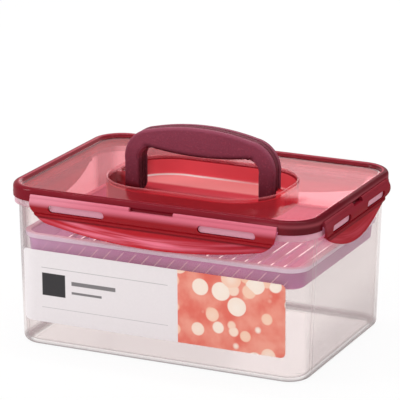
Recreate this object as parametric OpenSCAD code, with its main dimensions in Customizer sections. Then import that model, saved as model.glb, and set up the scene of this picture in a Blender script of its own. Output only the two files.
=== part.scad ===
// Kimchi container: a tub with a press plate inside, and a lid with four latches and a fold-down handle.
// Millimetres, Z up, front towards -Y, origin on the table under the middle of the tub.

/* [Lid] */
// Length over the lid rim, along X
lid_len = 238; // [215:1:280]
// Depth over the lid rim, along Y
lid_dep = 171; // [158:1:210]
// Plan radius of the lid corners
lid_corner = 24; // [22:0.5:26]
// Height of the rim bead's crest above the table
lid_crest = 119.5; // [110:0.5:150]
// Radius of the rounded bead round the lid
bead_r = 3.2; // [2.6:0.1:3.6]
// Rise of the bead above the flat panel
bead_rise = 2.1; // [1.2:0.1:2.8]
// Thickness of the panel and of the well
panel_t = 1.8; // [1.4:0.1:2.2]
// Height of the corner skirt below the bead's crest
skirt_h = 9.6; // [9.2:0.1:10.5]
// Thickness of the corner skirt
skirt_t = 2.2; // [1.6:0.1:2.4]
// Depth of the inner skirt that plugs the mouth of the tub
plug_h = 5; // [3:0.5:7]

/* [Handle well] */
// Length of the well that the handle folds into
well_len = 134; // [130:1:150]
// Width of the well
well_dep = 92; // [91:0.5:110]
// Plan radius of the well corners
well_corner = 36; // [30:0.5:38]
// Taper of the well wall on each side, from top to floor
well_taper = 0.5; // [0.2:0.1:1]
// Fillet round the well floor
well_fillet = 3; // [1:0.5:4]
// Rise of the lip round the mouth of the well
well_lip = 0.9; // [0.4:0.1:1.4]

/* [Tub] */
// Distance from the lid's edge in to the tub wall
tub_inset = 3.9; // [3.6:0.1:4.4]
// Wall thickness of the tub
tub_wall = 2; // [1.6:0.1:2.4]
// Lean of the tub walls, degrees
tub_draft = 1.45; // [0.6:0.05:1.6]
// Thickness of the tub floor
floor_t = 2.6; // [2:0.1:3.5]
// Radius of the outer bottom edge
foot_r = 5; // [3:0.5:7]
// Radius of the inner bottom edge
floor_fillet = 4; // [2:0.5:6]
// Depth of the hollow under the floor
foot_recess = 0.8; // [0.4:0.1:1.2]
// Thickness of the flange below the rim
flange_t = 4.4; // [3:0.1:5]
// Distance from the lid's edge in to the flange's edge
flange_inset = 1; // [0.8:0.1:1.6]

/* [Latches] */
// Radius of the round hinge bead along a latch
hinge_r = 1.6; // [1.4:0.05:1.7]
// Running clearance of the hinge bead in the lid's cove
hinge_gap = 0.05; // [0.03:0.01:0.1]
// Distance of the hinge line outside the lid's edge
hinge_out = 0.4; // [0.3:0.05:0.6]
// Depth of the hinge line below the bead's crest
hinge_drop = 5.6; // [5.4:0.1:6]
// Wall thickness of a latch
latch_t = 1.8; // [1.5:0.1:2]
// Height of a latch from its hinge line to its lowest edge
latch_drop = 27; // [24:0.1:28]
// Depth of the band's lower ridge below the hinge line
ridge_drop = 12.6; // [12:0.1:13.5]
// Radius of a long latch's bowed lower edge
bow_long = 404; // [300:1:600]
// Radius of a short latch's bowed lower edge
bow_short = 110; // [100:1:160]
// Radius of a long latch's lower corners
corner_long = 17; // [14:0.5:20]
// Radius of a short latch's lower corners
corner_short = 7; // [5:0.5:10]
// Length of a lock slot on the long sides
slot_long = 44; // [30:1:48]
// Middle of a lock slot from the centre of the long sides
slot_long_at = 58; // [54:1:60]
// Length of a lock slot on the short sides
slot_short = 34; // [20:1:36]
// Middle of a lock slot from the centre of the short sides
slot_short_at = 33; // [31:0.5:34]
// Depth of the lock slots' middle below the hinge line
slot_drop = 6.7; // [6.2:0.1:7]
// Height of the lock slots
slot_h = 5.6; // [5:0.1:6]
// Clearance of a lock rib in its slot, above and below
rib_gap = 0.55; // [0.4:0.05:0.8]
// Length of the gap in the middle of a long latch's hinge
hinge_notch = 34; // [20:1:50]

/* [Handle] */
// Width over the handle's legs
handle_len = 117.8; // [100:0.2:118]
// Thickness of the handle
handle_t = 16; // [12:0.5:16]
// Width of a leg, seen from the front
leg_w = 11.9; // [10:0.1:13]
// Height of the grip's crown above the pivot
handle_h = 43.4; // [40:0.2:44]
// Radius of the grip's crown
crown_r = 170; // [140:1:260]
// Radius of the handle's shoulders
shoulder_r = 22; // [18:0.5:26]
// Depth of the grip from crown to belly
grip_h = 21; // [19:0.2:23]
// Radius of the grip's belly
belly_r = 231; // [200:1:300]
// Radius of the inside corners between the legs and the grip
inner_r = 9.8; // [8:0.1:11]
// Rounding of the handle's edges
handle_edge = 2; // [1.5:0.1:3]
// Half thickness of the core between the soft faces
core_half = 3; // [3:0.1:4]
// Depth of the seam grooves round the core
seam_depth = 0.9; // [0.4:0.1:1.2]
// Radius of the pivot stubs
pivot_r = 3; // [2.4:0.1:3]
// Running clearance of a stub in its socket
pivot_gap = 0.05; // [0.03:0.01:0.1]
// Reach of a stub beyond its leg
pivot_reach = 5; // [3.5:0.1:5.5]
// Clearance under the handle's legs
well_gap = 0.4; // [0.3:0.1:1]

/* [Press plate] */
// Depth of the plate's rim below the bead's crest, as packed
plate_drop = 37; // [34:0.5:42]
// Height of the plate from its base to its rim
plate_h = 16; // [12:0.5:18]
// Downward travel of the plate
plate_travel = 58; // [30:1:58]
// Wall thickness of the plate
plate_t = 1.8; // [1.4:0.1:2.4]
// Reach of the soft lip beyond the plate's rim
lip_w = 1.4; // [0.8:0.1:2]
// Clearance of the soft lip in the narrowest part of its travel
lip_gap = 0.35; // [0.3:0.05:1]
// Pitch of the ribs on the plate's floor
plate_rib_pitch = 10; // [8:0.5:14]
// Height of the ribs
plate_rib_h = 2.2; // [1:0.1:3]
// Length of the plate's finger grip
pull_len = 70; // [60:1:90]
// Width of the finger grip
pull_dep = 16; // [12:0.5:20]
// Rise of the finger grip above the plate's rim
pull_rise = 4; // [1:0.5:5]

/* [Label] */
// Thickness of the printed label
label_t = 0.3; // [0.2:0.05:0.6]
// Height of the label's lower edge
label_low = 19; // [12:0.5:30]
// Height of the label's upper edge
label_high = 73; // [50:0.5:80]
// Left end of the label from the middle of the front
label_left = 105.5; // [80:0.5:105.5]
// Right end of the label from the middle of the front
label_right = 99.5; // [80:0.5:105.5]
// Radius of the label's corners
label_corner = 3.5; // [1:0.5:8]

/* [Hidden] */
$fn = 120;

// Centres of the plan corners, shared by the lid, the tub, the plate and the seals
hx = lid_len / 2 - lid_corner;
hy = lid_dep / 2 - lid_corner;

// Levels, all counted from the crest of the bead
z_panel = lid_crest - bead_rise;
z_under = z_panel - panel_t;
z_skirt = lid_crest - skirt_h;
z_hinge = lid_crest - hinge_drop;
gasket_h = 3;
z_rim = z_under - gasket_h - 0.3;
z_flange = z_skirt - 0.4;

// Tub radii about the corner centres
r_rim = lid_corner - tub_inset;
r_hinge = lid_corner + hinge_out;
function wall_r(z) = r_rim - (z_flange - z) * tan(tub_draft);

// Lock slots and the ribs that stand in them
z_slot = z_hinge - slot_drop;
rib_h = slot_h - 2 * rib_gap;
rib_tip = r_hinge + 1.3;

// Handle and well
z_pivot = z_panel - handle_t / 2 + bead_rise;
well_floor = z_pivot - handle_t / 2 - well_gap;
leg_x = handle_len / 2;
// Neighbouring sweeps of the handle stand proud of each other by this much, so that their faces cross cleanly
blend = 0.1;
sink = 0.15;
shoulder_x = leg_x + 3 * blend - shoulder_r;
crown_z = z_pivot + handle_h - crown_r;
crown_to_shoulder = crown_r - shoulder_r + blend;
shoulder_z = crown_z + sqrt(pow(crown_to_shoulder, 2) - pow(shoulder_x, 2));
crown_half = asin(shoulder_x / crown_to_shoulder);
shoulder_past = acos((pow(crown_r, 2) - pow(crown_to_shoulder, 2) - pow(shoulder_r, 2))
    / (2 * crown_to_shoulder * shoulder_r)) + 3;
belly_z = z_pivot + handle_h - grip_h + belly_r;
belly_half = asin((leg_x - leg_w - inner_r / 2) / belly_r);
inner_x = leg_x - leg_w - inner_r + sink;
belly_to_inner = belly_r + inner_r - sink;
inner_z = belly_z - sqrt(pow(belly_to_inner, 2) - pow(inner_x, 2));
inner_turn = 90 + asin(inner_x / belly_to_inner);
wx = well_len / 2 - well_corner;
wy = well_dep / 2 - well_corner;
boss_r = 5;

// Press plate
z_plate = lid_crest - plate_drop;
z_plate_base = z_plate - plate_h;
plate_rim_t = 2;
lip_r = wall_r(z_plate - plate_travel) - tub_wall - lip_gap;
plate_r = lip_r - lip_w;
pull_post = 10;
z_pull = z_plate + pull_rise;

// Carries a section, drawn as radius and height, once round a rounded rectangle
module round_plan(cx, cy) {
  for (q = [0 : 3])
    translate([(q == 0 || q == 3) ? cx : -cx, q < 2 ? cy : -cy, 0])
      rotate([0, 0, 90 * q])
        rotate_extrude(angle = 90)
          children();
  for (a = [0, 180])
    rotate([0, 0, a])
      translate([cx, 0, 0])
        rotate([90, 0, 0])
          linear_extrude(2 * cy, center = true)
            children();
  for (a = [90, 270])
    rotate([0, 0, a])
      translate([cy, 0, 0])
        rotate([90, 0, 0])
          linear_extrude(2 * cx, center = true)
            children();
}

// Slab with rounded plan corners about the given corner centres
module slab(cx, cy, r, h) {
  translate([-cx, -cy, 0])
    cube([2 * cx, 2 * cy, h]);
  round_plan(cx, cy)
    square([r, h]);
}

// Round-ended bar along Y, centred, for slots and ribs
module stadium_bar(len, h, deep) {
  rotate([90, 0, 0])
    linear_extrude(deep, center = true) {
      square([len - h, h], center = true);
      for (s = [-1, 1])
        translate([s * (len - h) / 2, 0])
          circle(h / 2);
    }
}

// Inside corner fillet, filling the corner between a floor and a wall to its right
module corner_fillet(r) {
  difference() {
    square([r + 0.4, r]);
    translate([0, r])
      circle(r);
  }
}

// Section of the tub: foot, leaning wall, flange and upright rim
module tub_section() {
  inner_r = wall_r(floor_t) - tub_wall;
  difference() {
    union() {
      polygon([[0, 0], [wall_r(foot_r) - foot_r, 0], [wall_r(foot_r), foot_r], [r_rim, z_flange],
          [r_rim, z_rim], [0, z_rim]]);
      translate([wall_r(foot_r) - foot_r, foot_r])
        circle(foot_r);
      translate([r_rim - 1, z_flange - flange_t])
        square([lid_corner - flange_inset - r_rim + 1, flange_t]);
    }
    polygon([[-1, floor_t], [inner_r, floor_t], [r_rim - tub_wall, z_flange],
        [r_rim - tub_wall, z_rim + 1], [-1, z_rim + 1]]);
  }
  translate([inner_r - floor_fillet, floor_t])
    corner_fillet(floor_fillet);
}

// Two round-ended lock ribs on one side
module lock_ribs(half, len, at) {
  deep = rib_tip - r_rim + 1;
  for (s = [-1, 1])
    translate([s * at, -(half + r_rim - 1 + deep / 2), z_slot])
      stadium_bar(len - 2 * rib_gap, rib_h, deep);
}

module container_body() {
  color([0.92, 0.9, 0.89, 0.6])
    difference() {
      union() {
        round_plan(hx, hy)
          tub_section();
        translate([-hx, -hy, 0])
          cube([2 * hx, 2 * hy, floor_t]);
        for (turn = [0, 180])
          rotate([0, 0, turn])
            lock_ribs(hy, slot_long, slot_long_at);
        for (turn = [90, 270])
          rotate([0, 0, turn])
            lock_ribs(hx, slot_short, slot_short_at);
      }
      translate([0, 0, -1])
        slab(hx, hy, wall_r(0) - foot_r - 4, 1 + foot_recess);
    }
}

// Thin sheet on the leaning front wall, turned a little way round both corners, with its own corners rounded
module front_label() {
  wide = label_left + label_right;
  tall = label_high - label_low;
  color([0.93, 0.91, 0.92])
    intersection() {
      round_plan(hx, hy)
        polygon([[wall_r(label_low), label_low], [wall_r(label_low) + label_t, label_low],
            [wall_r(label_high) + label_t, label_high], [wall_r(label_high), label_high]]);
      translate([(label_right - label_left) / 2, -hy, (label_low + label_high) / 2])
        rotate([90, 0, 0])
          linear_extrude(2 * lid_corner) {
            square([wide - 2 * label_corner, tall + 1], center = true);
            square([wide, tall - 2 * label_corner], center = true);
            for (sx = [-1, 1], sy = [-1, 1])
              translate([sx * (wide / 2 - label_corner), sy * (tall / 2 - label_corner)])
                circle(label_corner);
          }
    }
}

// Section of the lid's rim: bead, corner skirt, seal groove and inner skirt
module lid_section() {
  groove_in = r_rim - tub_wall - 0.7;
  difference() {
    union() {
      translate([lid_corner - bead_r, lid_crest - bead_r])
        circle(bead_r);
      translate([lid_corner - skirt_t, z_skirt])
        square([skirt_t, lid_crest - bead_r - z_skirt]);
      translate([groove_in - 1.6, z_under - plug_h])
        square([1.6, plug_h + panel_t]);
    }
    translate([groove_in, z_skirt - 1])
      square([lid_corner - skirt_t - groove_in, z_under - z_skirt + 1]);
  }
}

// Section of the handle well: lip, tapered wall, floor fillet and floor
module well_section() {
  floor_r = well_corner - well_taper;
  polygon([[0, well_floor - panel_t], [floor_r + panel_t, well_floor - panel_t], [well_corner + panel_t, z_panel],
      [well_corner, z_panel], [floor_r, well_floor], [0, well_floor]]);
  translate([well_corner + panel_t / 2, z_panel])
    circle(well_lip);
  translate([floor_r - well_fillet, well_floor])
    corner_fillet(well_fillet);
}

// Socket for one pivot stub, standing on the well's floor against its end wall
module pivot_boss() {
  boss_x = leg_x + 0.8;
  boss_l = well_len / 2 + 0.6 - boss_x;
  translate([boss_x, 0, z_pivot])
    rotate([0, 90, 0])
      cylinder(r = boss_r, h = boss_l);
  translate([boss_x, -boss_r, well_floor - 0.5])
    cube([boss_l - 1, 2 * boss_r, z_pivot - well_floor + 0.5]);
}

// Room for one latch: the skirt is cut away below the hinge, with a cove for the hinge bead
module latch_room(half, reach) {
  translate([-reach - 0.4, -half - lid_corner - 3, z_skirt - 1])
    cube([2 * reach + 0.8, skirt_t + 3, z_hinge - 1.8 - z_skirt + 1]);
  translate([-reach - 0.4, -half - r_hinge, z_hinge])
    rotate([0, 90, 0])
      cylinder(r = hinge_r + hinge_gap, h = 2 * reach + 0.8);
}

module lid() {
  color([0.72, 0.16, 0.24, 0.75])
    difference() {
      union() {
        round_plan(hx, hy)
          lid_section();
        difference() {
          translate([0, 0, z_under])
            slab(hx, hy, lid_corner - bead_r, panel_t);
          translate([0, 0, z_under - 1])
            slab(wx, wy, well_corner + panel_t / 2, panel_t + 2);
        }
        round_plan(wx, wy)
          well_section();
        translate([-wx, -wy, well_floor - panel_t])
          cube([2 * wx, 2 * wy, panel_t]);
        for (turn = [0, 180])
          rotate([0, 0, turn])
            pivot_boss();
      }
      for (turn = [0, 180])
        rotate([0, 0, turn]) {
          latch_room(hy, hx);
          translate([leg_x, 0, z_pivot])
            rotate([0, 90, 0])
              cylinder(r = pivot_r + pivot_gap, h = pivot_reach + 0.6);
        }
      for (turn = [90, 270])
        rotate([0, 0, turn])
          latch_room(hx, hy);
    }
}

// Hollow silicone ring in the lid's groove
module lid_gasket() {
  color([0.93, 0.9, 0.88])
    round_plan(hx, hy)
      difference() {
        translate([r_rim - tub_wall - 0.4, z_under - gasket_h])
          square([tub_wall + 1.7, gasket_h]);
        translate([r_rim - tub_wall / 2 + 0.45, z_under - gasket_h / 2])
          circle(0.9);
      }
}

// Section of a latch about its hinge line: bead, convex band, ridge and hanging lip
module latch_section() {
  band_r = 8.8;
  band_u = 3.05 - band_r;
  band_v = 1.2 - slot_drop;
  lip_r = 40;
  lip_v = -latch_drop * 2 / 3;
  circle(hinge_r);
  intersection() {
    translate([band_u, band_v])
      difference() {
        circle(band_r, $fn = 240);
        circle(band_r - latch_t, $fn = 240);
      }
    translate([band_u + 3.6, -ridge_drop + 0.8])
      square([band_r, ridge_drop - 1.3]);
  }
  translate([0.4, -ridge_drop])
    circle(1.2);
  intersection() {
    translate([lip_r, lip_v])
      difference() {
        circle(lip_r + 1.2, $fn = 360);
        circle(lip_r + 1.2 - latch_t, $fn = 360);
      }
    translate([-3, -latch_drop - 2])
      square([8, latch_drop + 2 - ridge_drop]);
  }
}

// Front view of a latch: bowed lower edge with round corners
module latch_outline(half, bow, corner) {
  reach = bow - corner + blend;
  corner_x = half - corner;
  corner_v = bow - latch_drop - sqrt(pow(reach, 2) - pow(corner_x, 2));
  touch_x = corner_x + corner * corner_x / reach;
  difference() {
    intersection() {
      translate([-half, -latch_drop - 1])
        square([2 * half, latch_drop + hinge_r + 2]);
      translate([0, bow - latch_drop])
        circle(bow, $fn = 720);
    }
    for (m = [0, 1])
      mirror([m, 0])
        difference() {
          translate([touch_x, -latch_drop - 2])
            square([corner, corner_v + latch_drop + 2]);
          translate([corner_x, corner_v])
            circle(corner, $fn = 240);
        }
  }
}

// A latch about its own hinge line, closed, facing the front
module latch(half, bow, corner, len, at, notch) {
  deep = 8 * hinge_r;
  difference() {
    intersection() {
      rotate([90, 0, 90])
        linear_extrude(2 * half, center = true)
          mirror([1, 0])
            latch_section();
      rotate([90, 0, 0])
        linear_extrude(3 * deep, center = true)
          latch_outline(half, bow, corner);
    }
    for (s = [-1, 1])
      translate([s * at, 0, -slot_drop])
        stadium_bar(len, slot_h, deep);
    translate([-notch / 2, -deep / 2, -0.75 * hinge_r])
      cube([notch, deep, 3 * hinge_r]);
  }
}

module latch_front() {
  color([0.74, 0.14, 0.22])
    translate([0, -hy - r_hinge, z_hinge])
      latch(hx, bow_long, corner_long, slot_long, slot_long_at, hinge_notch);
}

module latch_back() {
  color([0.74, 0.14, 0.22])
    rotate([0, 0, 180])
      translate([0, -hy - r_hinge, z_hinge])
        latch(hx, bow_long, corner_long, slot_long, slot_long_at, hinge_notch);
}

module latch_left() {
  color([0.74, 0.14, 0.22])
    rotate([0, 0, 270])
      translate([0, -hx - r_hinge, z_hinge])
        latch(hy, bow_short, corner_short, slot_short, slot_short_at, hinge_notch / 2);
}

module latch_right() {
  color([0.74, 0.14, 0.22])
    rotate([0, 0, 90])
      translate([0, -hx - r_hinge, z_hinge])
        latch(hy, bow_short, corner_short, slot_short, slot_short_at, hinge_notch / 2);
}

// Section with all four edges rounded, centred on its middle
module round_section(w, r) {
  square([w, handle_t - 2 * r], center = true);
  square([w - 2 * r, handle_t], center = true);
  for (sx = [-1, 1], sy = [-1, 1])
    translate([sx * (w / 2 - r), sy * (handle_t / 2 - r)])
      circle(r);
}

// Section from one radius out to another, of thickness t, with the two outer edges rounded
module outer_round_section(r0, r1, r, t) {
  translate([r0, -t / 2])
    square([r1 - r - r0, t]);
  translate([r0, -t / 2 + r])
    square([r1 - r0, t - 2 * r]);
  for (s = [-1, 1])
    translate([r1 - r, s * (t / 2 - r)])
      circle(r);
}

// Right leg, with a round eye about the pivot
module handle_leg() {
  leg_mid = leg_x - leg_w / 2;
  leg_top = shoulder_z - 1 - z_pivot;
  intersection() {
    translate([leg_mid, 0, z_pivot])
      rotate([90, 0, 90])
        linear_extrude(leg_w, center = true) {
          circle(handle_t / 2);
          translate([-handle_t / 2, 0])
            square([handle_t, leg_top]);
        }
    translate([leg_mid, 0, z_pivot - handle_t])
      linear_extrude(2 * handle_t + leg_top)
        round_section(leg_w, handle_edge);
  }
}

// Right shoulder, turned about its own centre from the leg to the crown, its faces a hair below theirs
module handle_shoulder() {
  start = 14;
  translate([shoulder_x, 0, shoulder_z])
    rotate([90, 0, 0])
      rotate([0, 0, -start])
        rotate_extrude(angle = start + 90 - crown_half + shoulder_past)
          outer_round_section(shoulder_r - leg_w + 2, shoulder_r, handle_edge, handle_t - 2 * blend);
}

// Right inside corner: a web rounded about a centre in the hand gap, a little thinner than the leg, its edge eased
module handle_inner() {
  half = handle_t / 2 - handle_edge / 5;
  web_x = inner_r * cos(inner_turn);
  translate([inner_x, 0, inner_z])
    rotate([-90, 0, 0])
      difference() {
        translate([web_x, -inner_r - 4, 0])
          cube([leg_x - leg_w / 2 - inner_x - web_x, inner_r + 4, half]);
        translate([0, 0, -1])
          cylinder(r = inner_r, h = handle_t);
        translate([0, 0, half - handle_edge])
          cylinder(r1 = inner_r - handle_edge / 4, r2 = inner_r + 7 * handle_edge / 4, h = 2 * handle_edge);
      }
}

// Whole arch: crown and belly bars between two shoulders, two inside corners and two legs
module handle_arch() {
  for (m = [0, 1])
    mirror([m, 0, 0]) {
      handle_leg();
      handle_shoulder();
      handle_inner();
    }
  translate([0, 0, crown_z])
    rotate([90, 0, 0])
      rotate([0, 0, 90 - crown_half])
        rotate_extrude(angle = 2 * crown_half, $fn = 720)
          outer_round_section(crown_r - 0.62 * grip_h, crown_r, handle_edge, handle_t);
  translate([0, 0, belly_z])
    rotate([90, 0, 0])
      rotate([0, 0, 270 - belly_half])
        rotate_extrude(angle = 2 * belly_half, $fn = 720)
          outer_round_section(belly_r - 0.48 * grip_h, belly_r, handle_edge, handle_t);
}

// Front view of the arch about the pivot's level, for the core between the soft faces
module arch_outline(inset) {
  half = leg_x - inset;
  gap = leg_x - leg_w + inset;
  round_out = shoulder_r - inset;
  round_in = inner_r + inset;
  difference() {
    intersection() {
      translate([-half, -handle_t])
        square([2 * half, handle_h + 2 * handle_t]);
      translate([0, crown_z - z_pivot])
        circle(crown_r - inset, $fn = 720);
    }
    for (m = [0, 1])
      mirror([m, 0])
        difference() {
          translate([shoulder_x + round_out * sin(crown_half), shoulder_z - z_pivot])
            square([2 * shoulder_r, 2 * shoulder_r]);
          translate([shoulder_x, shoulder_z - z_pivot])
            circle(round_out, $fn = 240);
        }
    difference() {
      translate([-gap, -2 * handle_t])
        square([2 * gap, handle_h + 2 * handle_t]);
      translate([0, belly_z - z_pivot])
        circle(belly_r - inset, $fn = 720);
      for (m = [0, 1])
        mirror([m, 0])
          difference() {
            translate([inner_x + round_in * cos(inner_turn), inner_z - z_pivot])
              square([2 * inner_r, 2 * inner_r]);
            translate([inner_x, inner_z - z_pivot])
              circle(round_in, $fn = 240);
          }
    }
  }
}

// One layer of the core, with round ends about the pivot
module core_layer(inset, half) {
  intersection() {
    translate([0, half, z_pivot])
      rotate([90, 0, 0])
        linear_extrude(2 * half)
          arch_outline(inset);
    translate([0, 0, z_pivot])
      rotate([90, 0, 90])
        linear_extrude(2 * handle_len, center = true) {
          circle(handle_t / 2 - inset);
          translate([-handle_t / 2, 0])
            square([handle_t, handle_h + handle_t]);
        }
  }
}

// Core with a middle band between two seam grooves, and a pivot stub on each leg
module handle_core() {
  color([0.36, 0.13, 0.2])
    union() {
      core_layer(seam_depth, core_half);
      core_layer(0.1, core_half - 1);
      for (turn = [0, 180])
        rotate([0, 0, turn])
          translate([leg_x - 3, 0, z_pivot])
            rotate([0, 90, 0])
              cylinder(r = pivot_r, h = 3 + pivot_reach);
    }
}

// Soft face on one side of the core
module handle_grip() {
  intersection() {
    handle_arch();
    translate([-handle_len, core_half, z_pivot - handle_t])
      cube([2 * handle_len, handle_t, handle_h + 2 * handle_t]);
  }
}

module handle_grip_front() {
  color([0.45, 0.2, 0.28])
    rotate([0, 0, 180])
      handle_grip();
}

module handle_grip_back() {
  color([0.45, 0.2, 0.28])
    handle_grip();
}

// Section of the press plate: rim, leaning wall, rounded base and floor
module plate_section() {
  top_r = plate_r - 1;
  base_r = top_r - 1.2;
  base_round = 3;
  difference() {
    union() {
      polygon([[0, z_plate_base], [base_r - base_round, z_plate_base], [base_r, z_plate_base + base_round],
          [top_r, z_plate], [0, z_plate]]);
      translate([base_r - base_round, z_plate_base + base_round])
        circle(base_round);
      translate([0, z_plate - plate_rim_t])
        square([plate_r, plate_rim_t]);
    }
    polygon([[-1, z_plate_base + 2], [base_r - plate_t, z_plate_base + 2], [top_r - plate_t, z_plate + 1],
        [-1, z_plate + 1]]);
  }
}

// Bridge to press and lift the plate by
module finger_pull() {
  foot = z_plate_base + 1;
  round_top = 8;
  rotate([90, 0, 0])
    linear_extrude(pull_dep, center = true)
      difference() {
        union() {
          translate([-pull_len / 2, foot])
            square([pull_len, z_pull - round_top - foot]);
          translate([-pull_len / 2 + round_top, foot])
            square([pull_len - 2 * round_top, z_pull - foot]);
          for (s = [-1, 1])
            translate([s * (pull_len / 2 - round_top), z_pull - round_top])
              circle(round_top);
        }
        translate([-pull_len / 2 + pull_post, z_plate_base + 2])
          square([pull_len - 2 * pull_post, z_pull - 6 - 5 - z_plate_base - 2]);
        translate([-pull_len / 2 + pull_post + 5, z_plate_base + 2])
          square([pull_len - 2 * pull_post - 10, z_pull - 6 - z_plate_base - 2]);
        for (s = [-1, 1])
          translate([s * (pull_len / 2 - pull_post - 5), z_pull - 11])
            circle(5);
      }
}

module press_plate() {
  rib_count = floor(hx / plate_rib_pitch);
  color([0.66, 0.42, 0.6, 0.75])
    union() {
      round_plan(hx, hy)
        plate_section();
      translate([-hx, -hy, z_plate_base])
        cube([2 * hx, 2 * hy, 2]);
      for (i = [-rib_count : rib_count])
        translate([i * plate_rib_pitch - 0.8, -hy - 6, z_plate_base + 1.5])
          cube([1.6, 2 * hy + 12, plate_rib_h + 0.5]);
      finger_pull();
    }
}

// Soft lip round the plate's rim, flared up against the tub wall
module press_plate_seal() {
  color([0.86, 0.78, 0.88])
    round_plan(hx, hy) {
      polygon([[plate_r, z_plate - plate_rim_t - 0.6], [plate_r + 0.6, z_plate - plate_rim_t - 0.6],
          [lip_r, z_plate], [lip_r - 0.5, z_plate + 0.8], [plate_r, z_plate + 0.8]]);
      translate([plate_r - 2.6, z_plate])
        square([2.6, 0.8]);
    }
}

container_body();
front_label();
lid();
lid_gasket();
latch_front();
latch_back();
latch_left();
latch_right();
handle_core();
handle_grip_front();
handle_grip_back();
press_plate();
press_plate_seal();
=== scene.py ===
# %% [markdown]
# A kimchi keeper: a milky tub with a lilac press plate, and a burgundy lid with four latches and a
# fold-down handle. Its solids come from the packed frame, in metres, so nothing is fitted by eye:
# this script gives each piece its finish and sets up the studio. The first cell loads the frame and
# gives a way to read the box that a piece fills.

# %% Load the frame
import math
from types import SimpleNamespace

import bmesh
import bpy
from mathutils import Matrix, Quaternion, Vector


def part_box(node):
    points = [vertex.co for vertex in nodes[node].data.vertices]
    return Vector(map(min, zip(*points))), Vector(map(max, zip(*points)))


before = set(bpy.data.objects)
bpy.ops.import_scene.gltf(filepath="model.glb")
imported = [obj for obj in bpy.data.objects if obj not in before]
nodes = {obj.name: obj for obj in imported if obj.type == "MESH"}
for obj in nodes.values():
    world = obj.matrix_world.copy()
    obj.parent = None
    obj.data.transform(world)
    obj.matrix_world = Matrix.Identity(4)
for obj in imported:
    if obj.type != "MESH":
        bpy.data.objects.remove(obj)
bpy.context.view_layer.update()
print("nodes:", sorted(nodes))

# %% [markdown]
# A finish is a sum of masks: how far out a point lies, how high, how cloudy it is. Nodes wired one
# by one would hide that sum, so `Wire` wraps a socket and lets Python's own operators add the Math
# nodes. The reflected forms, such as __rsub__, make `1 - mask` work too.

# %% Sums on sockets
class Wire:
    def __init__(self, finish, socket):
        self.finish, self.socket = finish, socket

    def sum(self, operation, first, second=0.0):
        settings, values = {"operation": operation}, {0: first, 1: second}
        return self.finish.node("ShaderNodeMath", settings, values).out()

    def __add__(self, other):
        return self.sum("ADD", self, other)

    def __radd__(self, other):
        return self.sum("ADD", other, self)

    def __sub__(self, other):
        return self.sum("SUBTRACT", self, other)

    def __rsub__(self, other):
        return self.sum("SUBTRACT", other, self)

    def __mul__(self, other):
        return self.sum("MULTIPLY", self, other)

    def __rmul__(self, other):
        return self.sum("MULTIPLY", other, self)

    def __abs__(self):
        return self.sum("ABSOLUTE", self)

    def least(self, other):
        return self.sum("MINIMUM", self, other)

    def most(self, other):
        return self.sum("MAXIMUM", self, other)

    def power(self, other):
        return self.sum("POWER", self, other)

    def wave(self):
        return self.sum("SINE", self)

    def rise(self, low, high):
        """0 below low, 1 above high, and a smooth step between."""
        settings = {"interpolation_type": "SMOOTHSTEP"}
        values = {"Value": self, "From Min": low, "From Max": high}
        return self.finish.node("ShaderNodeMapRange", settings, values).out()

    def between(self, low, high, soft):
        """1 from low to high, with edges that are twice soft wide."""
        return self.rise(low - soft, low + soft) * (1 - self.rise(high - soft, high + soft))


print("Wire can:", ", ".join(name for name in vars(Wire) if not name.startswith("_")))

# %% [markdown]
# `Finish` owns one material, or the world. One method adds any node: its type, its settings, which
# are set first, and what feeds its sockets. See-through plastic could be a glass shader, but that
# bends light into noise and leaves the export nothing to keep. Here a clear shader is mixed with a
# coloured one, and a mirror that grows at a glancing angle lies over both, as on a real moulding.

# %% Nodes of one finish
GLOSS_ROUGHNESS = 0.1
GLOSS_FALL = 5.0
POLISH = 0.012


class Made:
    def __init__(self, finish, node):
        self.finish, self.node = finish, node

    def out(self, name=0):
        return Wire(self.finish, self.node.outputs[name])


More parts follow.
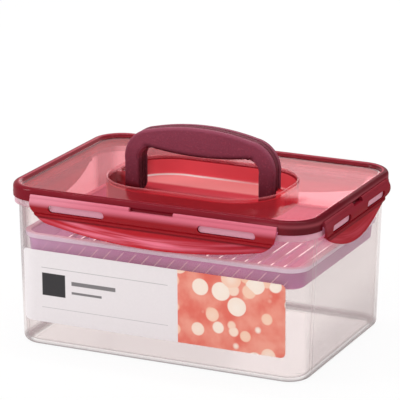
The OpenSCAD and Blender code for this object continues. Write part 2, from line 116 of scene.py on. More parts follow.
class Finish:
    def __init__(self, name, family=bpy.data.materials, output="ShaderNodeOutputMaterial"):
        self.material = family.new(name)
        self.material.use_nodes = True
        self.tree = self.material.node_tree
        self.tree.nodes.clear()
        self.surface = self.node(output).node.inputs["Surface"]

    def node(self, kind, settings=None, inputs=None):
        node = self.tree.nodes.new(kind)
        for key, value in (settings or {}).items():
            setattr(node, key, value)
        for key, value in (inputs or {}).items():
            self.feed(node.inputs[key], value)
        return Made(self, node)

    def feed(self, socket, value):
        if isinstance(value, Wire):
            self.tree.links.new(value.socket, socket)
        elif socket.type == "RGBA" and len(value) == 3:
            socket.default_value = (*value, 1)
        else:
            socket.default_value = value

    def place(self):
        """The point on the object in metres, and its three numbers."""
        spot = self.node("ShaderNodeTexCoord").out("Object")
        apart = self.node("ShaderNodeSeparateXYZ", {}, {0: spot})
        return spot, apart.out("X"), apart.out("Y"), apart.out("Z")

    def flat(self, across, up):
        return self.node("ShaderNodeCombineXYZ", {}, {0: across, 1: up}).out()

    def noise(self, spot, scale, detail=3.0):
        values = {"Vector": spot, "Scale": scale, "Detail": detail}
        return self.node("ShaderNodeTexNoise", {}, values).out(0)

    def mix(self, factor, first, second):
        values = {"Factor": factor, 6: first, 7: second}
        return self.node("ShaderNodeMix", {"data_type": "RGBA"}, values).out(2)

    def paint(self, tint, *coats):
        """Lays coats over a tint, each a mask and a colour."""
        for mask, colour in coats:
            tint = self.mix(mask, tint, colour)
        return tint

    def bump(self, height, depth):
        values = {"Height": height, "Strength": 1.0, "Distance": depth}
        return self.node("ShaderNodeBump", {}, values).out()

    def layer(self, factor, under, over):
        return self.node("ShaderNodeMixShader", {}, {0: factor, 1: under, 2: over}).out()

    def skin(self, through=None, cover=1.0, gloss=None, sheen=(1, 1, 1), polish=POLISH, **inputs):
        """The shader that reaches the surface. Names are its own sockets, with _ for a space. A
        see-through plastic also lets light pass, tinted by the colour through, wherever cover is
        below 1. Gloss is how much of the room it mirrors at a glancing angle, and polish how much
        it mirrors at any angle."""
        values = {name.replace("_", " "): value for name, value in inputs.items()}
        shader = self.node("ShaderNodeBsdfPrincipled", {}, values).out()
        if through is not None:
            clear = self.node("ShaderNodeBsdfTransparent", {}, {"Color": through}).out()
            shader = self.layer(cover, clear, shader)
        if gloss is not None:
            facing = self.node("ShaderNodeLayerWeight", {}, {"Blend": 0.5}).out("Facing")
            values = {"Color": sheen, "Roughness": GLOSS_ROUGHNESS}
            mirror = self.node("ShaderNodeBsdfGlossy", {}, values).out()
            shader = self.layer(polish + gloss * facing.power(GLOSS_FALL), shader, mirror)
        return self.ends_in(shader)

    def ends_in(self, shader):
        self.tree.links.new(shader.socket, self.surface)
        return self.material


print("Finish can:", ", ".join(name for name in vars(Finish) if not name.startswith("_")))

# %% [markdown]
# Each solid already has its place and its body, so a finish only has to fill its material slot.
# The mesh itself stays as it came.

# %% Dress a piece
def dress(material, *names):
    for name in names:
        mesh = nodes[name].data
        mesh.materials.clear()
        mesh.materials.append(material)
        for face in mesh.polygons:
            face.material_index = 0
    print(material.name, "on", names)


print("pieces to dress:", len(nodes))

# %% [markdown]
# Every rim, seal and wall of the keeper follows one rounded rectangle, and the handle's well
# follows a smaller one. The distance from the centres of their corners tells how far out a point
# lies, so that one material can tell the lid's bead from its panel.

# %% Distance from the corner centres
CORNER_RADIUS = 0.024
LID_LOW, LID_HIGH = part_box("lid")
CORNER_X, CORNER_Y = LID_HIGH.x - CORNER_RADIUS, LID_HIGH.y - CORNER_RADIUS
WELL_X, WELL_Y = 0.031, 0.010


def outward(x, y, centre_x, centre_y):
    across = (abs(x) - centre_x).most(0.0)
    along = (abs(y) - centre_y).most(0.0)
    return (across * across + along * along).power(0.5)


print("corner centres:", round(CORNER_X, 4), round(CORNER_Y, 4), "well centres:", WELL_X, WELL_Y)

# %% [markdown]
# Heights are measured from the box of the piece they belong to, in metres. They could be typed as
# heights over the floor, but then a taller tub would leave every mask above it behind.

# %% Heights from a box
def past(start, *steps):
    """Places that lie some steps past a start, or before it where a step is negative."""
    return tuple(start + step for step in steps)


print("lid from", round(LID_LOW.z, 4), "to", round(LID_HIGH.z, 4))

# %% [markdown]
# The tub is milky polypropylene: nearly clear, a little warm, and cloudier where it is thick, at
# the foot, the flange and the lock ribs. One even veil would look like frosted glass, so the veil is
# a sum of those places and of a slow noise. The foot is also grey. The rest is painted light and
# shade: a thin cloudier line where the shading changes at the bend of each corner, a greyer right
# wall that turns away from the key light, greyer still and darker at its foot, greyer left corners
# where a look through the wall crosses more plastic, a lighter bottom that stands in for light the
# lid and plate keep from it, and pink on the flange and lock ribs for the red lid's light.

# %% Tub finish
TUB_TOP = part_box("container_body")[1].z
RIB_REACH, RIB_FOOT = (0.0236, 0.0240), past(TUB_TOP, -0.0123, -0.0093)
FLANGE_REACH, FLANGE_FOOT = (0.0203, 0.0206), past(TUB_TOP, -0.0103, -0.0083)
FOOT_REACH, FOOT_TOP = (0.0095, 0.0125), (0.0005, 0.006)
BASE_TOP = (0.003, 0.005)
# Painted shade: a thin cloudier line at the bend of each corner, where the wall's shading changes.
BEND_LINE = (CORNER_Y - 0.0004, CORNER_Y + 0.0006, 0.0003)
BEND_ENDS = (0.100, 0.101)
RIGHT_WALL, RIGHT_FADE = (0.109, 0.1145), (0.010, 0.055)
LEFT_WALL, LEFT_CORNER, CORNER_FADE = (-0.112, -0.104), (0.050, 0.062), (0.020, 0.060)

TUB_CLEAR = (0.979, 0.956, 0.952)
# The last colour here is painted light: a lighter bottom, for light that the lid and plate keep from
# it.
MILK, MILK_CLOUD, BASE_LIGHT = (0.86, 0.80, 0.775), (0.91, 0.855, 0.83), (0.95, 0.89, 0.87)
# Painted shade: grey for the right wall, greyer towards its foot, and for the left corners.
RIGHT_SHADE, RIGHT_FOOT_SHADE, CORNER_SHADE = (0.58, 0.51, 0.51), (0.40, 0.34, 0.34), (0.44, 0.38, 0.42)
# The foot is grey, and darker on the right as painted shade.
FOOT_GREY, FOOT_SHADE = (0.34, 0.29, 0.295), (0.25, 0.21, 0.21)
# Painted pink light and reflection from the red lid, on the flange and the lock ribs.
FLANGE_PINK, RIB_PINK = (0.72, 0.45, 0.52), (0.68, 0.31, 0.40)


def tub_finish():
    f = Finish("milky_tub")
    spot, x, y, z = f.place()
    reach = outward(x, y, CORNER_X, CORNER_Y)
    cloud = f.noise(spot, scale=14.0)
    ribs = reach.rise(*RIB_REACH) * z.rise(*RIB_FOOT)
    flange = reach.rise(*FLANGE_REACH) * z.rise(*FLANGE_FOOT)
    foot = (1 - z.rise(*FOOT_TOP)) * reach.rise(*FOOT_REACH)
    base = 1 - z.rise(*BASE_TOP)
    bend = abs(y).between(*BEND_LINE) * abs(x).rise(*BEND_ENDS)
    right = x.rise(*RIGHT_WALL)
    low = right * (1 - z.rise(*RIGHT_FADE))
    corner = (1 - x.rise(*LEFT_WALL)) * abs(y).rise(*LEFT_CORNER)
    corner = corner * (0.25 + 0.75 * z.rise(*CORNER_FADE))
    veil = 0.075 + 0.03 * cloud + 0.6 * foot + 0.4 * flange + 0.3 * bend
    veil = veil + 0.12 * right + 0.30 * low + 0.42 * corner
    tint = f.paint(
        f.mix(cloud, MILK, MILK_CLOUD),
        (base, BASE_LIGHT),
        (right * 0.7, RIGHT_SHADE),
        (low, RIGHT_FOOT_SHADE),
        (corner, CORNER_SHADE),
        (foot, f.mix(right, FOOT_GREY, FOOT_SHADE)),
        (flange, FLANGE_PINK),
        (ribs, RIB_PINK),
    )
    return f.skin(
        through=TUB_CLEAR,
        cover=veil.most(ribs * 0.92).least(1.0),
        gloss=0.25,
        Base_Color=tint,
        Roughness=0.3 + 0.12 * f.noise(spot, scale=60.0),
        Specular_IOR_Level=0.0,
        Normal=f.bump(f.noise(spot, scale=220.0, detail=2.0), depth=0.00004),
    )


dress(tub_finish(), "container_body")

# %% [markdown]
# The lid is one moulding of see-through burgundy, so its parts can't be told apart by piece. They
# could be split into several materials by face, but then each edge would be as hard as a face is
# large. Masks worked out from the place give soft edges: the bead with its crest, rim line and
# shine, and the well with its walls, its floor, the turn between wall and floor, and its lip. The
# crest, rim line, shine, turn and lip carry painted highlights.

# %% Places on the lid
LID_TOP, WELL_BASE = LID_HIGH.z, LID_LOW.z
BEAD = (0.0165, 0.0182)
CREST, CREST_UP = (0.0188, 0.0204, 0.0006), past(LID_TOP, -0.0007, -0.0001)
RIM, RIM_UP, RIM_RIGHT = (0.0170, 0.0178, 0.0003), past(LID_TOP, -0.0019, -0.0013), (0.098, 0.108)
SHINE_UP, SHINE_RIGHT = (*past(LID_TOP, -0.0047, -0.0025), 0.0012), (0.06, 0.09)
UNDER_PANEL = past(LID_TOP, -0.0047, -0.0039)
WELL_SKIN, WELL_OUTSIDE = (0.0366, 0.0370), (0.0385, 0.0395)
WELL_ENDS, WELL_NEAR, WELL_RIGHT = (0.055, 0.066), (-0.024, -0.012), (0.0, 0.01)
WELL_FACE, WELL_FLOOR = (0.0362, 0.0366), past(WELL_BASE, 0.0021, 0.0025)
WELL_TURN, WELL_TURN_UP = (0.0338, 0.0352, 0.0004), past(WELL_BASE, 0.0027, 0.0035)
WELL_FAR = (0.0, 0.02)
WELL_LIP, WELL_LIP_UP = (0.0358, 0.0384, 0.0002), past(LID_TOP, -0.0023, -0.0019)


def lid_places(x, y, z):
    reach = outward(x, y, CORNER_X, CORNER_Y)
    inside = outward(x, y, WELL_X, WELL_Y)
    bead = reach.rise(*BEAD)
    below = 1 - z.rise(*UNDER_PANEL)
    ring = below * inside.rise(*WELL_SKIN) * (1 - inside.rise(*WELL_OUTSIDE))
    not_near_right = y.rise(*WELL_NEAR).most(1 - x.rise(*WELL_RIGHT))
    wall_end = ring * abs(x).rise(*WELL_ENDS) * not_near_right
    well = below * (1 - inside.rise(*WELL_FACE))
    turn = well * inside.between(*WELL_TURN) * (1 - z.rise(*WELL_TURN_UP)) * y.rise(*WELL_FAR)
    return SimpleNamespace(
        reach=reach,
        inside=inside,
        bead=bead,
        crest=reach.between(*CREST) * z.rise(*CREST_UP),
        rim=reach.between(*RIM) * z.rise(*RIM_UP) * x.rise(*RIM_RIGHT),
        shine=bead * z.between(*SHINE_UP) * x.rise(*SHINE_RIGHT),
        wall_end=wall_end,
        wall_out=ring - wall_end,
        well=well,
        floor=well * (1 - z.rise(*WELL_FLOOR)),
        turn=turn,
        lip=inside.between(*WELL_LIP) * z.rise(*WELL_LIP_UP),
    )


print("bead starts", BEAD, "well ends", WELL_FACE, "metres from the corner centres")

# %% [markdown]
# The plastic is thin in the panel, where it looks salmon red, and thick in the bead, where it looks
# almost black. Light and shade are painted on as coats of colour, each over the last. The well is
# painted a brighter red for the light that comes through its walls; its floor is deeper, with
# painted light gathering on its far side, and its left end lies in the handle's painted shade. The
# outside of its wall is painted dark, partly as shade under the panel and partly for the two layers
# of plastic that a look through it crosses, with paler painted light at its ends. The bead gets
# painted shade towards the right, and painted highlights lie on its crest, shine and rim line, on
# the turn in the well and on the well's lip.

# %% Colours of the lid
PANEL_RED, PANEL_CLOUD = (0.72, 0.06, 0.085), (0.80, 0.08, 0.105)
# Painted light and shade in the well: a brighter red for light through its walls, and the handle's
# shade at its left end.
WELL_LIT_RED, WELL_SHADE, SHADE_LEFT = (0.98, 0.12, 0.155), (0.16, 0.012, 0.015), (-0.064, -0.054)
# The well's floor, with painted light on its far side.
BOTTOM_RED, FAR_FLOOR_LIGHT, BOTTOM_FAR = (0.60, 0.052, 0.072), (0.90, 0.28, 0.285), (0.016, 0.0215)
# The turn in the well carries a painted highlight.
TURN_HIGHLIGHT, TURN_FADE = (0.97, 0.84, 0.82), (-0.03, 0.03)
# The outside of the well's wall: paler painted light at its ends, and dark between, partly painted
# shade and partly two layers of plastic.
WELL_END_LIGHT, WALL_DARK = (0.42, 0.16, 0.19), (0.205, 0.016, 0.026)
# The bead is dark from its thick plastic, with painted shade towards the right.
BEAD_DARK, BEAD_RIGHT_SHADE, BEAD_RIGHT = (0.20, 0.006, 0.016), (0.11, 0.004, 0.010), (0.085, 0.112)
# Painted highlights on the bead's shine and crest.
SHINE_HIGHLIGHT, CREST_HIGHLIGHT = (0.30, 0.050, 0.066), (0.55, 0.10, 0.14)
# Painted highlights on the bead's inner rim line and along the well's lip.
RIM_HIGHLIGHT, LIP_HIGHLIGHT = (0.96, 0.82, 0.80), (0.80, 0.24, 0.27)


def lid_tint(f, at, x, y, cloud):
    return f.paint(
        f.mix(cloud, PANEL_RED, PANEL_CLOUD),
        (at.well, WELL_LIT_RED),
        (at.well * (1 - x.rise(*SHADE_LEFT)) * 0.85, WELL_SHADE),
        (at.floor, BOTTOM_RED),
        (at.floor * y.rise(*BOTTOM_FAR), FAR_FLOOR_LIGHT),
        (at.turn * (1 - 0.7 * x.rise(*TURN_FADE)), TURN_HIGHLIGHT),
        (at.wall_end, WELL_END_LIGHT),
        (at.wall_out, WALL_DARK),
        (at.bead, BEAD_DARK),
        (at.bead * x.rise(*BEAD_RIGHT), BEAD_RIGHT_SHADE),
        (at.shine * 0.9, SHINE_HIGHLIGHT),
        (at.crest * 0.7, CREST_HIGHLIGHT),
        (at.rim, RIM_HIGHLIGHT),
        (at.lip, LIP_HIGHLIGHT),
    )


print("panel", PANEL_RED, "bead", BEAD_DARK)

# %% [markdown]
# The polished panel mirrors the bright room behind it. One even gloss would be simpler, but how
# much it mirrors is painted by place, as painted reflection: most on the bead's inner edge, less on
# the bead's outside, more at the panel's left end, less at its near right corner, and hardly any in
# front of the well, where the handle stands in the way.

# %% Lid finish
LID_CLEAR, LID_SHEEN = (0.985, 0.62, 0.66), (1.0, 0.82, 0.84)
BEFORE_WELL = SimpleNamespace(out=(0.056, 0.064), right=(-0.035, -0.005), near=(-0.030, -0.010))
NEAR_RIGHT = SimpleNamespace(right=(0.07, 0.085), near=(-0.03, -0.008))
PANEL_LEFT = (-0.075, -0.06)
INNER_EDGE, OUTER_BEAD = (0.0165, 0.0186, 0.0004), (0.0192, 0.0200)


def lid_finish():
    f = Finish("burgundy_lid")
    spot, x, y, z = f.place()
    at = lid_places(x, y, z)
    cloud = f.noise(spot, scale=9.0)
    cover = 0.10 + 0.05 * cloud + 0.72 * at.well + 0.82 * at.wall_out
    cover = cover + 0.3 * at.wall_end + 0.2 * at.lip
    blocked = (1 - at.inside.rise(*BEFORE_WELL.out)) * x.rise(*BEFORE_WELL.right)
    blocked = blocked * (1 - y.rise(*BEFORE_WELL.near))
    near_right = x.rise(*NEAR_RIGHT.right) * (1 - y.rise(*NEAR_RIGHT.near))
    # Painted reflection: how much the panel mirrors is set by place.
    mirror = 0.36 - 0.36 * blocked - 0.17 * near_right + 0.26 * (1 - x.rise(*PANEL_LEFT))
    mirror = mirror + 0.55 * at.reach.between(*INNER_EDGE) - 0.28 * at.reach.rise(*OUTER_BEAD)
    return f.skin(
        through=LID_CLEAR,
        cover=cover.most(at.bead * 0.97),
        gloss=mirror,
        polish=POLISH * (1 - blocked),
        sheen=LID_SHEEN,
        Base_Color=lid_tint(f, at, x, y, cloud),
        Roughness=0.3 + 0.08 * f.noise(spot, scale=35.0),
        Specular_IOR_Level=0.0,
        Normal=f.bump(f.noise(spot, scale=150.0, detail=2.0), depth=0.00003),
    )


dress(lid_finish(), "lid")

# %% [markdown]
# The latches are the same plastic, thin enough to glow where light comes through: a pink roll under
# the hinge, a deep band with the slots, a dark ridge, and a flared lip with soft pink streaks along
# its bowed edge. The roll's pink, paler towards one end, and the streaks are painted highlights, the
# ridge's dark is painted shade, and the lip is painted darker from its middle towards one end, as
# shade. The long latches catch more light than the short ones, so one recipe takes two sets of
# colours: the short ones get darker colours as painted shade, hardly any pink and less gloss.
# `along` is the axis that a latch runs on, and `bow` the radius of its edge.

# %% Two kinds of latch
LONG = SimpleNamespace(
    along=0,
    bow=0.404,
    band=((0.32, 0.008, 0.014), (0.40, 0.011, 0.020)),
    # The long latches' roll colour is a painted pink highlight.
    roll=(0.82, 0.20, 0.29),
    lip=(0.66, 0.022, 0.038),
    # The lip is painted darker towards one end, as shade.
    far_lip=(0.48, 0.014, 0.036),
    gloss=0.4,
    cover=0.86,
    pink=0.9,
)
# The short latches get darker colours as painted shade, with hardly any pink highlight.
SHORT = SimpleNamespace(
    along=1,
    bow=0.110,
    band=((0.21, 0.007, 0.013), (0.26, 0.009, 0.017)),
    roll=(0.24, 0.012, 0.026),
    lip=(0.44, 0.014, 0.026),
    far_lip=(0.40, 0.012, 0.024),
    gloss=0.06,
    cover=0.95,
    pink=0.1,
)
print("bow of the long and the short edge:", LONG.bow, SHORT.bow)

# %% [markdown]
# The streaks are painted highlights. They could be a plain band along the edge, but that reads as a
# rolled rim. A noise that is stretched along the latch breaks them up.

# %% Latch finish
LATCH_LOW, LATCH_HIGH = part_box("latch_right")
LATCH_FOOT, LATCH_TOP = LATCH_LOW.z, LATCH_HIGH.z
ROLL_FOOT, ROLL_TOP = past(LATCH_TOP, -0.0087, -0.0035), past(LATCH_TOP, -0.0004, 0.0024)
FLARE_TOP, FLARE_FAR = past(LATCH_FOOT, 0.0116, 0.0136), (0.0, 0.09)
RIDGE = (*past(LATCH_FOOT, 0.0121, 0.0137), 0.0006)
STREAK, STREAK_START, STREAK_FADE = (0.0014, 0.0080, 0.0016), (-0.08, -0.055), (0.0, 0.06)
# A stretched noise breaks up the painted highlight streaks.
BREAKUP_ALONG, BREAKUP_ACROSS, BREAKUP_STEPS = 16.0, 330.0, (0.32, 0.60)
PALE_END = (-0.09, -0.02)
LATCH_CLEAR, LATCH_SHEEN = (0.95, 0.18, 0.22), (1.0, 0.84, 0.86)
# Painted highlights: a paler pink at one end of the roll, and pink streaks on the lip.
ROLL_END_HIGHLIGHT, STREAK_HIGHLIGHT = (0.92, 0.42, 0.52), (0.98, 0.27, 0.39)
# Painted shade along the ridge.
RIDGE_SHADE = (0.13, 0.003, 0.008)


def latch_finish(name, kind):
    f = Finish(name)
    spot, *level, z = f.place()
    run = level[kind.along]
    roll = z.rise(*ROLL_FOOT) * (1 - z.rise(*ROLL_TOP))
    lip = 1 - z.rise(*FLARE_TOP)
    ridge = z.between(*RIDGE)
    edge = z - LATCH_FOOT - run * run * (0.5 / kind.bow)
    # Noise that breaks up the painted highlight streaks.
    streak_breakup = f.noise(f.flat(run * BREAKUP_ALONG, edge * BREAKUP_ACROSS), scale=1.0, detail=2.0)
    streak = edge.between(*STREAK) * (1 - 0.6 * run.rise(*STREAK_FADE))
    streak = streak * (0.35 + 0.65 * run.rise(*STREAK_START))
    streak = lip * streak * streak_breakup.rise(*BREAKUP_STEPS)
    pale = roll * (1 - run.rise(*PALE_END))
    tint = f.paint(
        f.mix(f.noise(spot, scale=22.0), *kind.band),
        (roll * 0.85, kind.roll),
        (lip * 0.8, f.mix(run.rise(*FLARE_FAR), kind.lip, kind.far_lip)),
        (pale * kind.pink * 0.5, ROLL_END_HIGHLIGHT),
        (streak * kind.pink, STREAK_HIGHLIGHT),
        (ridge * 0.8, RIDGE_SHADE),
    )
    return f.skin(
        through=LATCH_CLEAR,
        cover=kind.cover - 0.26 * lip + 0.2 * ridge + 0.2 * streak,
        gloss=kind.gloss,
        sheen=LATCH_SHEEN,
        Base_Color=tint,
        Roughness=0.3 + 0.1 * f.noise(spot, scale=50.0),
        Specular_IOR_Level=0.0,
        Normal=f.bump(f.noise(spot, scale=180.0, detail=2.0), depth=0.00003),
    )


dress(latch_finish("burgundy_long_latch", LONG), "latch_front", "latch_back")
dress(latch_finish("burgundy_short_latch", SHORT), "latch_left", "latch_right")

# %% [markdown]
# The handle's two faces are soft-touch: matt, with a fine even grain that scatters the light. The
# grain could be modelled, but a bump is enough for something so small. The core is darker and its
# grain shallower, so that the seams read as two lines round the rim. Both get painted shade on the
# legs, more on the right one, inside the arch and along its belly, where little light comes.

# %% Handle finishes
HANDLE_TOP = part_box("handle_grip_front")[1].z
ARCH_UP, ARCH_ACROSS = past(HANDLE_TOP, -0.0469, -0.0089), (-0.05, 0.05)
BELLY_LOW, BELLY_BOW = HANDLE_TOP - 0.0210, 2.16
BELLY_EDGE, BELLY_ENDS = (0.0003, 0.0042), (0.038, 0.046)
GAP_SIDES, GAP_TOP = (0.0470, 0.0480), past(HANDLE_TOP, -0.0329, -0.0209)
GRAIN_PEAKS = (0.55, 0.75)
# Painted shade on the legs, along the belly and in the gap inside the arch.
LEG_SHADE, BELLY_SHADE, GAP_SHADE = (0.045, 0.003, 0.008), (0.05, 0.004, 0.010), (0.03, 0.002, 0.006)
GRAIN_LIGHT = (0.42, 0.10, 0.15)
GRIP_LIGHT, GRIP_DARK, GRIP_GRAIN = (0.29, 0.064, 0.106), (0.235, 0.045, 0.080), 0.0003
CORE_LIGHT, CORE_DARK, CORE_GRAIN = (0.16, 0.024, 0.042), (0.12, 0.016, 0.030), 0.0001


def handle_finish(name, light, dark, grain):
    f = Finish(name)
    spot, x, _, z = f.place()
    wear = f.noise(spot, scale=30.0, detail=4.0)
    fine = f.noise(spot, scale=800.0, detail=2.0)
    legs = (1 - z.rise(*ARCH_UP)) * (0.45 + 0.3 * x.rise(*ARCH_ACROSS))
    belly = z - BELLY_LOW - x * x * BELLY_BOW
    under = (1 - belly.rise(*BELLY_EDGE)) * (1 - abs(x).rise(*BELLY_ENDS))
    gap = (1 - abs(x).rise(*GAP_SIDES)) * (1 - z.rise(*GAP_TOP))
    tint = f.paint(
        f.mix(wear, dark, light),
        (legs, LEG_SHADE),
        (under * 0.9, BELLY_SHADE),
        (gap * 0.7, GAP_SHADE),
        (fine.rise(*GRAIN_PEAKS) * 0.3, GRAIN_LIGHT),
    )
    return f.skin(
        Base_Color=tint,
        Roughness=0.5 + 0.1 * wear,
        Specular_IOR_Level=0.06,
        Normal=f.bump(fine, depth=grain),
    )


grip = handle_finish("soft_grip", GRIP_LIGHT, GRIP_DARK, GRIP_GRAIN)
dress(grip, "handle_grip_front", "handle_grip_back")
core = handle_finish("handle_core_plastic", CORE_LIGHT, CORE_DARK, CORE_GRAIN)
dress(core, "handle_core")

# %% [markdown]
# The press plate is lilac polypropylene, cloudier than the tub. Its ribs run from front to back,
# 10 mm apart, and catch the light in bright strokes, and pale lines cross its front and back walls.
# The strokes could come from the lamps, but the lid above leaves the ribs only red to mirror, so a
# little light is painted on with Emission Color, where the wave of the rib pitch has its crest.

# %% Places on the plate
RIB_WAVE, QUARTER_TURN = 628.3, 1.5708
PLATE_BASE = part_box("press_plate")[0].z
PLATE_RIBS, RIBS_END = (*past(PLATE_BASE, 0.0023, 0.0045), 0.0002), (0.006, 0.007)
STROKE, STROKE_LONG, STROKE_RIGHT = (0.915, 0.945), (-0.009, 0.020, 0.003), (0.052, 0.092, 0.003)
STROKE_SHORT = (-0.048, -0.031, 0.0015)
PLATE_WALL, WALL_ENDS = (0.010, 0.012), (0.094, 0.100)
WALL_TOP = past(PLATE_BASE, 0.0095, 0.0125)
LINE, LINE_LEAN, LINE_START = (0.87, 0.98), 0.9, (-0.085, -0.045)
PLATE_END, PLATE_LEFT, PLATE_FLOOR = (0.05, 0.11), (-0.12, 0.0), (-0.02, 0.05)


def plate_places(x, y, z):
    reach = outward(x, y, CORNER_X, CORNER_Y)
    ribs = z.between(*PLATE_RIBS) * (1 - reach.rise(*RIBS_END))
    crest = (x * RIB_WAVE + QUARTER_TURN).wave().rise(*STROKE)
    stroke = y.between(*STROKE_LONG) * x.between(*STROKE_RIGHT)
    wall = reach.rise(*PLATE_WALL)
    line = wall * ((x - LINE_LEAN * z) * RIB_WAVE).wave().rise(*LINE) * (1 - z.rise(*WALL_TOP))
    line = line * (1 - abs(x).rise(*WALL_ENDS)) * (0.3 + 0.7 * x.rise(*LINE_START))
    return SimpleNamespace(
        ribs=ribs,
        stroke=ribs * crest * stroke.most(y.between(*STROKE_SHORT)),
        line=line,
        end=x.rise(*PLATE_END),
        left=1 - x.rise(*PLATE_LEFT),
        floor=(1 - wall) * x.rise(*PLATE_FLOOR),
    )


print("rib pitch:", round(2 * math.pi / RIB_WAVE, 4))

# %% [markdown]
# The plate is painted more violet and lighter to the left, as painted light, and deeper towards its
# right end, as painted shade, and its floor is painted pinker to the right for the light through the
# red lid. Its ribs are painted paler, as a painted highlight. The plastic also scatters some light
# inside, which the lamps can't reach in a simple mix of shaders, so a very weak glow on the floor
# stands for it.

# %% Plate finish
PLATE_CLEAR = (0.92, 0.66, 0.82)
LILAC, LILAC_CLOUD = (0.82, 0.20, 0.66), (0.90, 0.25, 0.74)
# Painted light and shade: a deeper right end, a lighter violet left, and a pinker floor for light
# through the red lid.
PLATE_END_SHADE, PLATE_LEFT_LIGHT, FLOOR_PINK_LIGHT = (0.46, 0.08, 0.34), (0.86, 0.48, 0.90), (0.98, 0.44, 0.64)
# The first colour here is a painted highlight on the ribs, and the last is painted light for the
# strokes.
RIB_HIGHLIGHT, LINE_PINK, STROKE_PALE = (0.90, 0.70, 0.80), (0.98, 0.58, 0.76), (0.97, 0.90, 0.94)
NO_GLOW, FLOOR_GLOW, STROKE_GLOW = (0, 0, 0), (0.08, 0.05, 0.09), (0.80, 0.72, 0.75)


def plate_finish():
    f = Finish("lilac_plate")
    spot, x, y, z = f.place()
    at = plate_places(x, y, z)
    cloud = f.noise(spot, scale=16.0)
    tint = f.paint(
        f.mix(cloud, LILAC, LILAC_CLOUD),
        (at.end, PLATE_END_SHADE),
        (at.left, PLATE_LEFT_LIGHT),
        (at.floor * 0.8, FLOOR_PINK_LIGHT),
        (at.ribs * 0.6, RIB_HIGHLIGHT),
        (at.line * 0.9, LINE_PINK),
        (at.stroke, STROKE_PALE),
    )
    cover = 0.54 + 0.06 * cloud + 0.3 * at.ribs + 0.14 * at.end
    return f.skin(
        through=PLATE_CLEAR,
        cover=cover + 0.24 * at.floor + 0.3 * at.line,
        gloss=0.3,
        Emission_Color=f.paint(NO_GLOW, (at.floor, FLOOR_GLOW), (at.stroke, STROKE_GLOW)),
        Emission_Strength=1.0,
        Base_Color=tint,
        Roughness=0.3 + 0.08 * f.noise(spot, scale=45.0),
        Specular_IOR_Level=0.1,
        Normal=f.bump(f.noise(spot, scale=160.0, detail=2.0), depth=0.00003),
    )


dress(plate_finish(), "press_plate")

# %% [markdown]
# The plate's soft lip and the lid's gasket are silicone: satin, opaque, and uneven only in a faint
# cloud. One recipe serves both, in lilac and in white.

# %% Silicone finishes
SEAL_LIGHT, SEAL_DARK = (0.84, 0.69, 0.86), (0.76, 0.60, 0.79)
GASKET_LIGHT, GASKET_DARK = (0.86, 0.83, 0.80), (0.80, 0.77, 0.74)


def silicone_finish(name, light, dark):
    f = Finish(name)
    spot = f.place()[0]
    return f.skin(
        Base_Color=f.mix(f.noise(spot, scale=40.0), dark, light),
        Roughness=0.42 + 0.15 * f.noise(spot, scale=90.0),
        Normal=f.bump(f.noise(spot, scale=500.0, detail=2.0), depth=0.00004),
    )


dress(silicone_finish("lilac_silicone", SEAL_LIGHT, SEAL_DARK), "press_plate_seal")
dress(silicone_finish("white_silicone", GASKET_LIGHT, GASKET_DARK), "lid_gasket")

# %% [markdown]
# The label is satin film with a plain printed layout: two thin rules, a dark tile, two bars and, at
# its right end, a panel of pale pebbles on coral. It could be an image, but that would blur from
# close by, and its file would have to travel with the part. Here each shape is a mask worked out
# from the place on the wall.

# %% Places on the label
LABEL_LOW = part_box("front_label")[0]
LABEL_LEFT, LABEL_FOOT = LABEL_LOW.x, LABEL_LOW.z
PRINT_EDGE, RULE_EDGE = 0.0002, 0.00012
RULE_ACROSS = past(LABEL_LEFT, 0.0155, 0.1155)
RULE_HIGH, RULE_LOW = past(LABEL_FOOT, 0.0412, 0.0416), past(LABEL_FOOT, 0.0112, 0.0115)
TILE_ACROSS, TILE_UP = past(LABEL_LEFT, 0.0160, 0.0345), past(LABEL_FOOT, 0.0205, 0.0375)
BAR_LONG, BAR_LONG_UP = past(LABEL_LEFT, 0.0395, 0.0745), past(LABEL_FOOT, 0.0305, 0.0335)
BAR_SHORT, BAR_SHORT_UP = past(LABEL_LEFT, 0.0395, 0.0635), past(LABEL_FOOT, 0.0240, 0.0258)


def block(x, z, across, up):
    return z.between(*up, PRINT_EDGE) * x.between(*across, PRINT_EDGE)


def label_places(x, z):
    rules = z.between(*RULE_HIGH, RULE_EDGE).most(z.between(*RULE_LOW, RULE_EDGE))
    bars = block(x, z, BAR_LONG, BAR_LONG_UP).most(block(x, z, BAR_SHORT, BAR_SHORT_UP))
    return SimpleNamespace(
        rules=rules * x.between(*RULE_ACROSS, PRINT_EDGE),
        bars=bars,
        tile=block(x, z, TILE_ACROSS, TILE_UP),
    )


print("label starts at", round(LABEL_LEFT, 4), "and stands", round(LABEL_FOOT, 4), "up")

# %% [markdown]
# The pebbles are Voronoi cells, larger towards the top. Drawing them one by one would need a list of
# places, and a cell texture scatters them by itself. A pebble gets its tone from the cell's own
# random colour, and a lighter heart from the distance to its centre. A noise mottles the coral.

# %% Pebbles on coral
PEBBLE_SCALE, PEBBLE_RANDOM, PEBBLE_EDGE = 72.0, 0.7, (0.38, 0.44)
PEBBLE_GROWTH, GROWTH_UP = 0.14, past(LABEL_FOOT, 0.017, 0.041)
TONE_RANGE, HEART, MOTTLE = (0.1, 0.9), (0.0, 0.5), (0.3, 0.7)
PEACH, CREAM, HEART_CREAM = (0.91, 0.55, 0.40), (0.93, 0.80, 0.70), (0.95, 0.88, 0.80)
CORAL_DEEP, CORAL = (0.76, 0.15, 0.11), (0.86, 0.34, 0.26)


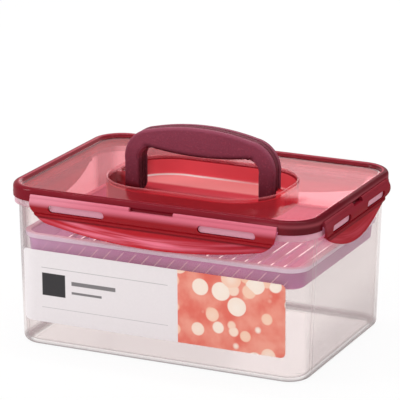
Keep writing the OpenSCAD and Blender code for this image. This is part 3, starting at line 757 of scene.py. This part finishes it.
def pebble_field(f, spot, x, z):
    values = {"Vector": f.flat(x, z), "Scale": PEBBLE_SCALE, "Randomness": PEBBLE_RANDOM}
    cells = f.node("ShaderNodeTexVoronoi", {}, values)
    away = cells.out("Distance")
    tone = f.node("ShaderNodeSeparateColor", {}, {0: cells.out("Color")}).out(0)
    pebble = f.mix(tone.rise(*TONE_RANGE), PEACH, CREAM)
    pebble = f.mix((1 - away.rise(*HEART)) * 0.5, pebble, HEART_CREAM)
    ground = f.mix(f.noise(spot, scale=60.0).rise(*MOTTLE), CORAL_DEEP, CORAL)
    grown = away - PEBBLE_GROWTH * z.rise(*GROWTH_UP)
    return f.mix(grown.rise(*PEBBLE_EDGE), pebble, ground)


print("pebble pitch:", round(1 / PEBBLE_SCALE, 4))

# %% [markdown]
# The layers of the print lie over each other as ink does: film, rules, bars, tile, and the panel
# last. One material keeps them in register, where thin pieces one over the other would flicker.

# %% Label finish
PANEL_START = past(LABEL_LEFT, 0.1229, 0.1233)
PAPER, PAPER_FIBRE = (0.79, 0.745, 0.765), (0.83, 0.785, 0.805)
RULE_INK, BAR_INK, TILE_INK = (0.30, 0.29, 0.30), (0.10, 0.095, 0.10), (0.036, 0.033, 0.036)


def label_finish():
    f = Finish("label_print")
    spot, x, _, z = f.place()
    at = label_places(x, z)
    tint = f.paint(
        f.mix(f.noise(spot, scale=500.0, detail=2.0), PAPER, PAPER_FIBRE),
        (at.rules * 0.75, RULE_INK),
        (at.bars * 0.85, BAR_INK),
        (at.tile, TILE_INK),
        (x.rise(*PANEL_START), pebble_field(f, spot, x, z)),
    )
    return f.skin(
        Base_Color=tint,
        Roughness=0.38 + 0.1 * f.noise(spot, scale=120.0),
        Specular_IOR_Level=0.25,
    )


dress(label_finish(), "front_label")

# %% [markdown]
# The photograph is a product shot on white. The floor is a pale sheet that keeps a soft shadow, and
# the camera, a reflection or a see-through wall meets plain white on it. More light would also make
# it white, but would bleach the keeper, so a glow that only those rays see is mixed in.

# %% Floor
WHITE = (1, 1, 1)
SHEET_PALE, SHEET_WHITENESS, SHEET_HALF = (0.9, 0.9, 0.9), 0.92, 6.0


def floor_finish():
    f = Finish("pale_floor")
    path = f.node("ShaderNodeLightPath")
    seen = path.out("Is Camera Ray").most(path.out("Is Glossy Ray"))
    seen = seen.most(path.out("Is Transmission Ray"))
    matt = f.node("ShaderNodeBsdfDiffuse", {}, {"Color": SHEET_PALE}).out()
    glow = f.node("ShaderNodeEmission", {}, {"Color": WHITE, "Strength": 1.0}).out()
    return f.ends_in(f.layer(seen * SHEET_WHITENESS, matt, glow))


sheet = bmesh.new()
bmesh.ops.create_grid(sheet, x_segments=1, y_segments=1, size=SHEET_HALF)
floor_mesh = bpy.data.meshes.new("floor")
sheet.to_mesh(floor_mesh)
sheet.free()
floor = bpy.data.objects.new("floor", floor_mesh)
floor_mesh.materials.append(floor_finish())
bpy.context.scene.collection.objects.link(floor)
print("floor:", 2 * SHEET_HALF, "metres wide")

# %% [markdown]
# The room is an even, slightly warm light from all sides, as in a white tent. What the camera or a
# reflection sees of it is plain white, and again no light is added for that.

# %% World
ROOM_LIGHT, ROOM_STRENGTH = (1.0, 0.985, 0.97), 0.76


def studio_world():
    f = Finish("studio", bpy.data.worlds, "ShaderNodeOutputWorld")
    path = f.node("ShaderNodeLightPath")
    seen = path.out("Is Camera Ray").most(path.out("Is Glossy Ray"))
    values = {"Color": ROOM_LIGHT, "Strength": ROOM_STRENGTH}
    light = f.node("ShaderNodeBackground", {}, values).out()
    white = f.node("ShaderNodeBackground", {}, {"Color": WHITE, "Strength": 1.0}).out()
    return f.ends_in(f.layer(seen, light, white))


bpy.context.scene.world = studio_world()
print("world:", bpy.context.scene.world.name)

# %% [markdown]
# Three soft boxes give the forms their shade: a key from the upper left, a long strip overhead, and
# one behind the keeper that the glossy lid mirrors. Point lamps would be simpler, but their shadows
# have hard edges, and a glossy lid would show them as sparks.

# %% Lamps
MIDDLE = (0, 0, 0.07)


def soft_box(name, place, size, power):
    lamp = bpy.data.lights.new(name, "AREA")
    lamp.shape, lamp.size, lamp.size_y, lamp.energy = "RECTANGLE", size[0], size[1], power
    holder = bpy.data.objects.new(name, lamp)
    holder.location = place
    holder.rotation_euler = (Vector(MIDDLE) - Vector(place)).to_track_quat("-Z", "Y").to_euler()
    bpy.context.scene.collection.objects.link(holder)
    print(name, "lamp of", power, "watts at", place)


soft_box("key", place=(-1.3, -0.9, 1.1), size=(0.6, 0.6), power=9)
soft_box("overhead", place=(0.0, 0.15, 1.5), size=(1.6, 0.18), power=8)
soft_box("behind", place=(-0.215, 1.5, 0.6), size=(0.8, 0.6), power=3.2)

# %% [markdown]
# The camera stands where a fit on the photograph's straight edges puts it: a long lens about two
# metres away, 24 degrees round to the right and 17 degrees up, with a trace of roll.

# %% Camera
ROUND, LIFT, ROLL = math.radians(24.35), math.radians(17.42), math.radians(0.22)
PIVOT, AWAY = Vector((0, 0, 0.05977)), 2.0265
AIM_AT = Vector((-0.0063, 0.0099, 0.0969))
SENSOR_MM, LENS_MM = 36.0, 249.9

level = math.cos(LIFT)
back = Vector((math.sin(ROUND) * level, -math.cos(ROUND) * level, math.sin(LIFT)))
camera = bpy.data.objects.new("camera", bpy.data.cameras.new("camera"))
camera.data.sensor_width = SENSOR_MM
camera.data.lens = LENS_MM
camera.location = PIVOT + back * AWAY
aim = AIM_AT - camera.location
camera.rotation_mode = "QUATERNION"
camera.rotation_quaternion = aim.to_track_quat("-Z", "Y") @ Quaternion((0, 0, 1), ROLL)
bpy.context.scene.collection.objects.link(camera)
bpy.context.scene.camera = camera
bpy.context.scene.view_settings.view_transform = "Standard"
print("camera at", tuple(round(part, 3) for part in camera.location))

# %% [markdown]
